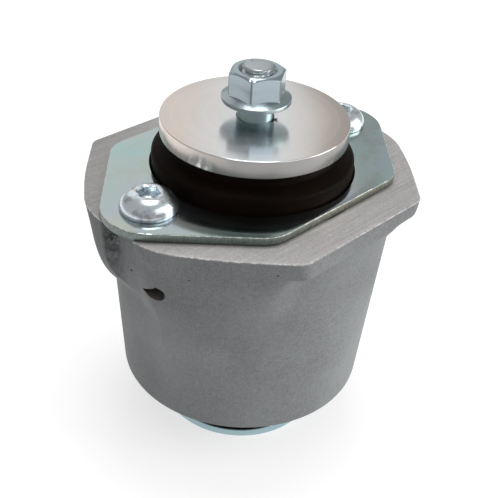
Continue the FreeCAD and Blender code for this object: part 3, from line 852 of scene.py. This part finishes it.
def cup_levels():
    """Radius and depth of each ring below the ears, round the cup's foot and up into its bore."""
    edge_depth = HOUSING_HEIGHT - BODY_EDGE_RADIUS
    first = FLANGE_THICKNESS + EAR_DEPTH + FADE_DEPTH + 1
    levels = [(wall_radius(depth), depth) for depth in np.arange(first, edge_depth - 0.1, 3.0)]
    for step in range(7):
        angle = math.pi / 12 * step
        inset = BODY_EDGE_RADIUS * (1 - math.cos(angle)) + 0.02 * step
        depth = HOUSING_HEIGHT - BODY_EDGE_RADIUS * (1 - math.sin(angle))
        levels.append((wall_radius(edge_depth) - inset, depth))
    levels.append((33.0, HOUSING_HEIGHT))
    for step in range(5):
        angle = math.pi / 8 * step
        radius = FLOOR_OPENING_RADIUS + FLOOR_EDGE_RADIUS * (1 - math.sin(angle))
        levels.append((radius, HOUSING_HEIGHT - FLOOR_EDGE_RADIUS * (1 - math.cos(angle))))
    levels.append((FLOOR_OPENING_RADIUS, FLANGE_TOP - FLOOR_TOP))
    levels.append((BORE_RADIUS, FLANGE_TOP - FLOOR_TOP))
    return levels


def housing_levels(angles):
    """Radii and depth of each ring from the bore's mouth over the outside to the bore's floor."""
    rows = [ear_radii(angles, *level[1:]) for level in EAR_LEVELS]
    below = soft_max(rows[0], wall_radius(FLANGE_THICKNESS), 1.2)
    below = grooved(below, angles, FLANGE_THICKNESS)
    lip = slab_side(angles, LIP_DEPTH, below)
    mouth = [(BORE_RADIUS, BORE_CHAMFER), (BORE_RADIUS + BORE_CHAMFER, 0.0)]
    return mouth + slab_levels(angles, below, lip) + ear_levels(angles, rows, lip) + cup_levels()


def build_housing():
    """Cast cup, with the flat top milled and its narrow outer edge bright from wear, with a painted
    highlight.
    """
    angles = housing_angles()
    levels = [(radii, FLANGE_TOP - depth) for radii, depth in housing_levels(angles)]
    housing = ring_body("housing_cast", levels, angles, [CAST, MILLED, BURR_HIGHLIGHT], sharp=32.0)
    # The narrow outer edge gets the burr paint: wear with a painted highlight
    paint_faces(housing, 2, lambda radius, z: radius > 40 and z > FLANGE_TOP - 0.2)
    paint_faces(housing, 1, lambda radius, z: z > FLANGE_TOP - 0.01)
    subtract(housing, [tapped_hole_cutter(-SCREW_X), tapped_hole_cutter(SCREW_X), window_cutter()])
    return housing


def tapped_hole_cutter(x):
    """Drilled blind hole with its conical point."""
    top = FLANGE_TOP + 1
    low = FLANGE_TOP - TAPPED_DEPTH
    profile = ((0.0, top), (TAPPED_RADIUS, top), (TAPPED_RADIUS, low), (0.0, low - DRILL_POINT))
    return ring_body("cutter", profile, even_angles(48), [DRILLED], x=x, hollow=False)


def window_cutter():
    """Drop-shaped duct from the ear's outside to the middle of its tapped hole."""
    inner = WINDOW_ROUND_RADIUS - WINDOW_HALF_WIDTH
    middle = (-WINDOW_HALF_WIDTH, WINDOW_HALF_HEIGHT - WINDOW_ROUND_RADIUS)
    outline = [(WINDOW_HALF_WIDTH, -WINDOW_TIP_DROP)]
    outline += arc_through((inner, WINDOW_HALF_HEIGHT), middle, (inner, -WINDOW_HALF_HEIGHT), 16)
    outline.append((WINDOW_SILL_END, -WINDOW_HALF_HEIGHT))
    turn = math.radians(WINDOW_ANGLE)
    count = len(outline)
    verts = []
    for out in (0.0, -FLANGE_REACH):
        for side, rise in outline:
            across = side - WINDOW_SIDE_OFFSET
            x = out * math.cos(turn) - across * math.sin(turn) - SCREW_X
            y = out * math.sin(turn) + across * math.cos(turn)
            verts.append((x, y, FLANGE_TOP - WINDOW_DEPTH + rise))
    faces = [tuple(range(count)), tuple(range(2 * count - 1, count - 1, -1))]
    faces += [(k, count + k, count + (k + 1) % count, (k + 1) % count) for k in range(count)]
    return make_object("cutter", verts, faces, [DRILLED])


def crossing(first, second):
    """Point where two straight sides meet, each given by outward angle and distance."""
    a = math.radians(first[0])
    b = math.radians(second[0])
    spread = math.sin(b - a)
    x = (first[1] * math.sin(b) - second[1] * math.sin(a)) / spread
    y = (second[1] * math.cos(a) - first[1] * math.cos(b)) / spread
    return x, y


def plate_radii(inset, angles):
    """The plate's outline, drawn in by an inset, as a radius at each angle."""
    end = SCREW_X * math.cos(math.radians(PLATE_END_ANGLE)) + PLATE_END_MARGIN
    near_end = SCREW_X * math.cos(math.radians(PLATE_NEAR_END_ANGLE)) + PLATE_NEAR_END_MARGIN
    sides = (
        (-PLATE_END_ANGLE, end, PLATE_NOSE_RADIUS),
        (PLATE_END_ANGLE, end, PLATE_SIDE_CORNER_RADIUS),
        (90.0, PLATE_FAR_WIDTH, PLATE_SIDE_CORNER_RADIUS),
        (180.0 - PLATE_END_ANGLE, end, PLATE_NOSE_RADIUS),
        (180.0 + PLATE_NEAR_END_ANGLE, near_end, PLATE_SIDE_CORNER_RADIUS),
        (270.0, PLATE_NEAR_WIDTH, PLATE_SIDE_CORNER_RADIUS),
    )
    drawn_in = [(angle, distance - inset, radius - inset) for angle, distance, radius in sides]
    corners = []
    for index, side in enumerate(drawn_in):
        x, y = crossing(side, drawn_in[(index + 1) % len(drawn_in)])
        corners.append((x, y, side[2]))
    return polar(corners, angles)


def build_plate():
    """Stamped sheet: edge rolled over at the top, sheared band and torn foot below."""
    angles = even_angles(480)
    rim = plate_radii(0.5, angles)
    top_bevel = 0.35
    foot_bevel = 0.3
    mouth = PLATE_HOLE_RADIUS + top_bevel
    levels = [
        (PLATE_HOLE_RADIUS, FLANGE_TOP + foot_bevel),
        (PLATE_HOLE_RADIUS, PLATE_TOP - top_bevel),
        (mouth, PLATE_TOP),
        (between(mouth, rim, 0.5), PLATE_TOP),
        (rim, PLATE_TOP),
    ]
    levels += [(plate_radii(inset, angles), PLATE_TOP - drop) for inset, drop in PLATE_ROLLED_EDGE]
    levels += [(plate_radii(inset, angles), FLANGE_TOP + rise) for inset, rise in PLATE_TORN_FOOT]
    levels.append((PLATE_HOLE_RADIUS + foot_bevel, FLANGE_TOP))
    plate = ring_body("plate_sheet", levels, angles, [PLATE_ZINC, SHEARED, ROLLED_HIGHLIGHT], sharp=35.0)
    inner = PLATE_HOLE_RADIUS + 2
    # The rolled top edge gets a painted highlight with wear; the band below gets the sheared paint
    paint_faces(plate, 2, lambda radius, z: radius > inner and z < PLATE_TOP - 0.06)
    paint_faces(plate, 1, lambda radius, z: radius > inner and z < PLATE_TOP - 0.2)
    subtract(plate, [plate_hole_cutter(-SCREW_X), plate_hole_cutter(SCREW_X)])
    return plate


def plate_hole_cutter(x):
    """Plain round hole for one screw."""
    top = PLATE_TOP + 1
    low = FLANGE_TOP - 1
    profile = ((0.0, top), (PLATE_SCREW_HOLE_RADIUS, top), (PLATE_SCREW_HOLE_RADIUS, low), (0.0, low))
    return ring_body("cutter", profile, even_angles(64), [PLATE_ZINC], x=x, hollow=False)


def thread_radii(angles, height):
    """Radii of a right-handed thread at one height."""
    phase = (height / THREAD_PITCH - angles / (2 * math.pi)) % 1.0
    ridge = np.abs(phase - 0.5) * 2
    return THREAD_RADIUS - THREAD_DEPTH * np.clip((ridge - 0.12) / 0.70, 0, 1)


def screw_dome(head_top):
    """The dome's profile, an arc from the crown flat to the rim over a raised middle."""
    rise = SCREW_HEAD_HEIGHT - SCREW_HEAD_RIM
    run = SCREW_HEAD_RADIUS - SCREW_CROWN_RADIUS
    bulge = SCREW_DOME_BULGE / math.hypot(rise, run)
    middle_radius = (SCREW_HEAD_RADIUS + SCREW_CROWN_RADIUS) / 2 + rise * bulge
    middle_level = PLATE_TOP + (SCREW_HEAD_HEIGHT + SCREW_HEAD_RIM) / 2 + run * bulge
    rim = (SCREW_HEAD_RADIUS, PLATE_TOP + SCREW_HEAD_RIM)
    return arc_through((SCREW_CROWN_RADIUS, head_top), (middle_radius, middle_level), rim, 14)


def build_screw(name, x, turn):
    """Button-head screw: dome, hexagon socket with its drill cone, threaded shank."""
    turn = math.radians(turn)
    angles = even_angles(THREAD_SIDES, turn)
    head_top = PLATE_TOP + SCREW_HEAD_HEIGHT
    socket_floor = head_top - SCREW_SOCKET_DEPTH
    low = PLATE_TOP - SCREW_LENGTH
    levels = raised(((0.0, -1.7), (1.5, -0.9), (2.85, -0.03)), socket_floor)
    for excess, level in ((-0.02, socket_floor), (0.0, head_top - 0.4), (0.2, head_top - 0.22)):
        levels.append((hexagon_radii(angles, SCREW_SOCKET_WIDTH + excess, turn, 0.06), level))
    levels += raised(((3.75, -0.04), (4.0, 0.0)), head_top) + screw_dome(head_top)
    rim = ((SCREW_HEAD_RADIUS, 0.35), (SCREW_HEAD_RADIUS - 0.15, 0.08), (SCREW_HEAD_RADIUS - 0.4, 0.0))
    levels += raised((*rim, (THREAD_RADIUS, 0.0), (THREAD_RADIUS, -3.0)), PLATE_TOP)
    heights = np.arange(PLATE_TOP - 3.2, low + 1.0, -THREAD_PITCH / 8)
    levels += [(thread_radii(angles, height), height) for height in heights]
    levels += raised(((4.0, 0.3), (3.8, 0.0), (0.0, 0.0)), low)
    return ring_body(name, levels, angles, [SCREW_ZINC], x=x, sharp=28.0, hollow=False)


def build_bolt():
    """Through bolt: countersunk head with its socket, plain shank and neck, threaded end."""
    angles = even_angles(THREAD_SIDES)
    socket = hexagon_radii(angles, BOLT_SOCKET_WIDTH, 0.0, 0.08)
    levels = [
        (0.0, 2.2),
        (3.2, 3.9),
        (socket, BOLT_SOCKET_DEPTH),
        (socket, 0.35),
        (5.0, 0.0),
        (BOLT_HEAD_RADIUS - 0.1, 0.0),
        (BOLT_HEAD_RADIUS, 0.1),
        (BOLT_HEAD_RADIUS, BOLT_HEAD_LAND),
        (SHANK_RADIUS, BOLT_HEAD_LAND + BOLT_HEAD_RADIUS - SHANK_RADIUS),
        (SHANK_RADIUS, 60.0),
        (SHANK_RADIUS, NUT_BOTTOM - 0.3),
        (SHANK_RADIUS - 0.2, NUT_BOTTOM - 0.02),
        (THREAD_RADIUS - 0.05, NUT_BOTTOM),
    ]
    for height in np.arange(NUT_BOTTOM + 0.15, BOLT_TOP - 0.02, THREAD_PITCH / 12):
        taper = min((BOLT_TOP - height) / 0.95, 1.0)
        levels.append((np.minimum(thread_radii(angles, height), 4.15 + 0.85 * taper ** 0.8), height))
    levels += [(4.08, BOLT_TOP), (0.0, BOLT_TOP)]
    bolt = ring_body("bolt_through", levels, angles, [BOLT_ZINC, NECK_ZINC], sharp=40.0, hollow=False)
    paint_faces(bolt, 1, lambda radius, z: z < NUT_BOTTOM)
    return bolt


def build_nut():
    """Flange nut: hexagon with chamfered corners on a sloping flange, threaded bore."""
    turn = math.radians(NUT_TURN)
    # The steps are closer together at the hexagon's corners
    side_steps = (0, 0.9, 2, *range(4, 57, 2), 58, 59.1)
    angles = np.radians([60 * corner + step for corner in range(6) for step in side_steps]) + turn
    sides = hexagon_radii(angles, NUT_WIDTH, turn, 0.12)
    edge = NUT_FLANGE_RADIUS
    skirt = NUT_BOTTOM + NUT_FLANGE_RIM + (edge - sides) * math.tan(math.radians(NUT_FLANGE_ANGLE))
    fall = math.tan(math.radians(NUT_CHAMFER_ANGLE))
    shoulder = NUT_TOP - np.maximum(0.0, sides - NUT_FACE_RADIUS) * fall
    underside = ((6.2, 0.0), (edge - 0.3, 0.0), (edge - 0.08, 0.12), (edge, 0.4))
    upper_edge = ((edge, 1.05), (edge - 0.12, 1.28), (edge - 0.4, 1.42))
    levels = raised(underside + upper_edge, NUT_BOTTOM)
    levels += [
        (sides + 0.35, skirt - 0.02),
        (sides + 0.08, skirt + 0.1),
        (sides, skirt + 0.4),
        (sides, between(skirt + 0.4, shoulder - 0.16, 0.5)),
        (sides, shoulder - 0.16),
        (sides - 0.14, shoulder + 0.02),
    ]
    levels += raised(((7.5, 0.0), (6.05, 0.0), (5.9, -0.1), (5.15, -0.9)), NUT_TOP)
    heights = np.arange(NUT_TOP - 1.0, NUT_BOTTOM + 1.2, -THREAD_PITCH / 6)
    levels += [(thread_radii(angles, height) + NUT_THREAD_GAP, height) for height in heights]
    levels.append((5.2, NUT_BOTTOM + 1.0))
    nut = ring_body("nut_flanged", levels, angles, [NUT_ZINC, NUT_CORNER_SHADE], sharp=24.0)
    # Painted shade: the hexagon's narrow blunted corners are darker
    paint_faces(nut, 1, lambda radius, z: radius > 9.08 and z > NUT_BOTTOM + 3)
    return nut


def build_top_disc():
    """Turned disc, its faces and its side in paints of their own."""
    profile = (
        (DISC_BORE_RADIUS, DISC_BOTTOM, 0.3),
        (DISC_RADIUS, DISC_BOTTOM, 0.5),
        (DISC_RADIUS, DISC_TOP, 0.38),
        (DISC_BORE_RADIUS, DISC_TOP, 0.1),
    )
    disc = lathe("disc_turned", profile, TURNED_FACE, FINE_TURNED)
    disc.data.materials.append(TURNED_SIDE)
    for face in disc.data.polygons:
        if abs(face.normal.z) < 0.4:
            face.material_index = 1
    return disc


def build_bottom_disc():
    """Plated disc, countersunk from below for the bolt's head."""
    mouth = BOLT_HEAD_RADIUS + LOWER_DISC_GAP
    profile = (
        (mouth, 0.0, 0.0),
        (LOWER_DISC_RADIUS, 0.0, 0.6),
        (LOWER_DISC_RADIUS, LOWER_DISC_TOP, 0.6),
        (mouth + BOLT_HEAD_LAND - LOWER_DISC_TOP, LOWER_DISC_TOP, 0.0),
        (mouth, BOLT_HEAD_LAND, 0.0),
    )
    return lathe("disc_lower", profile, LOWER_ZINC)


def build_bush():
    """Rubber from its foot below the cup to the stepped crown under the disc."""
    waist = FLOOR_OPENING_RADIUS - BUSH_GAP
    body = BORE_RADIUS - SLEEVE_WALL
    crown = PLATE_HOLE_RADIUS - BUSH_GAP
    profile = (
        (CORE_RADIUS, DISC_BOTTOM, 0.0),
        (CORE_RADIUS, LOWER_DISC_TOP, 0.0),
        (BUSH_FOOT_RADIUS, LOWER_DISC_TOP, 0.6),
        (waist, LOWER_DISC_TOP + BUSH_FOOT_HEIGHT, 2.0),
        (waist, FLOOR_TOP, 0.0),
        (body, FLOOR_TOP, 0.0),
        (body, FLANGE_TOP - BUSH_GAP, 0.0),
        (crown, FLANGE_TOP - BUSH_GAP, 0.0),
        (crown, BUSH_STEP, 1.6),
        (BUSH_SHOULDER_RADIUS, BUSH_STEP + BUSH_SHOULDER_RISE, 2.2),
        (BUSH_SEAT_RADIUS, DISC_BOTTOM, 0.0),
    )
    return lathe("bush_moulded", profile, RUBBER, steps=8)


def repaint(node, material):
    """Gives a carried-over solid its material."""
    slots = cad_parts[node].data.materials
    slots.clear()
    slots.append(material)


def build_part():
    dress(build_housing(), "housing")
    dress(build_plate(), "retaining_plate")
    dress(build_screw("screw_front", -SCREW_X, FRONT_SCREW_TURN), "front_screw")
    dress(build_screw("screw_rear", SCREW_X, REAR_SCREW_TURN), "rear_screw")
    dress(build_bush(), "rubber_bush")
    dress(build_bottom_disc(), "bottom_disc")
    dress(build_top_disc(), "top_disc")
    dress(build_bolt(), "centre_bolt")
    dress(build_nut(), "flange_nut")
    repaint("outer_sleeve", STEEL)
    repaint("centre_core", STEEL)


# Camera: place in metres, view direction, lens and roll
CAMERA_PLACE = Vector((-0.190186, -0.176299, 0.239733))
FORWARD = Vector((0.6057, 0.5579, -0.5673)).normalized()
CAMERA_ROLL = -3.82
CAMERA_LENS = 67.10
SENSOR_WIDTH = 36.0

# Directions seen from the camera, and the point in metres that the lamps aim at
UP = Vector((0, 0, 1))
RIGHT = FORWARD.cross(UP).normalized()
AWAY = Vector((FORWARD.x, FORWARD.y, 0)).normalized()
AIM = Vector((0, 0, 0.06))

# Light levels, and half the floor's width in metres
WORLD_LEVEL = 0.42
FLOOR_COLOUR = 0.55
FLOOR_GLOW = 0.64
FLOOR_HALF = 4.0

# Each lamp's name, metres from the aim away from the camera, to the right and up, size and level
SOFTBOXES = (
    ("softbox_back", 1.0, -0.35, 0.72, (1.1, 0.9), 0.45),
    ("softbox_right", 0.0, 0.95, 0.3, (0.6, 0.7), 3.2),
    ("softbox_front", -0.42, 0.66, 0.55, (0.72, 0.5), 1.15),
    ("softbox_top", 0.15, 0.0, 0.95, (0.4, 0.4), 6.0),
)


def build_floor():
    """Pale floor whose own colour is lifted to white for the camera and in reflections."""
    paint = Paint("pale_floor", (FLOOR_COLOUR,) * 3, Roughness=0.8, Specular_IOR_Level=0.1)
    rays = paint.node("ShaderNodeLightPath").outputs
    seen = paint.combine("MAXIMUM", rays["Is Camera Ray"], rays["Is Glossy Ray"])
    seen = paint.combine("MAXIMUM", seen, rays["Is Transmission Ray"])
    glow = paint.node("ShaderNodeEmission", Strength=paint.times(seen, FLOOR_GLOW))
    add = paint.node("ShaderNodeAddShader", paint.shader.outputs[0], glow.outputs[0])
    paint.plug(add.outputs[0], paint.nodes["Material Output"].inputs["Surface"])
    corners = [(x * FLOOR_HALF, y * FLOOR_HALF, 0) for x, y in ((-1, -1), (1, -1), (1, 1), (-1, 1))]
    mesh = bpy.data.meshes.new("floor")
    mesh.from_pydata(corners, [], [(0, 1, 2, 3)])
    mesh.materials.append(paint.material)
    floor = add_object("floor", mesh)


def softbox(name, place, size, level):
    """Rectangular lamp aimed at the object; its level is the brightness of its face."""
    data = bpy.data.lights.new(name, "AREA")
    data.shape = "RECTANGLE"
    data.size, data.size_y = size
    data.energy = level * math.pi * size[0] * size[1]
    lamp = add_object(name, data)
    lamp.location = place
    lamp.rotation_euler = (AIM - place).to_track_quat("-Z", "Y").to_euler()


def build_lights():
    for name, away, right, up, size, level in SOFTBOXES:
        softbox(name, AIM + AWAY * away + RIGHT * right + UP * up, size, level)
    world = bpy.data.worlds.new("studio")
    bpy.context.scene.world = world
    world.use_nodes = True
    backdrop = world.node_tree.nodes["Background"]
    backdrop.inputs["Color"].default_value = (1, 1, 1, 1)
    backdrop.inputs["Strength"].default_value = WORLD_LEVEL


def build_camera():
    data = bpy.data.cameras.new("camera")
    data.sensor_width = SENSOR_WIDTH
    data.lens = CAMERA_LENS
    data.clip_start = 0.01
    camera = add_object("camera", data)
    roll = math.radians(CAMERA_ROLL)
    down = FORWARD.cross(RIGHT)
    right = RIGHT * math.cos(roll) + down * math.sin(roll)
    lower = down * math.cos(roll) - RIGHT * math.sin(roll)
    turn = Matrix((right, -lower, -FORWARD)).transposed()
    camera.matrix_world = Matrix.Translation(CAMERA_PLACE) @ turn.to_4x4()
    bpy.context.scene.camera = camera


build_part()
build_floor()
build_lights()
build_camera()
bpy.context.scene.view_settings.view_transform = "Standard"
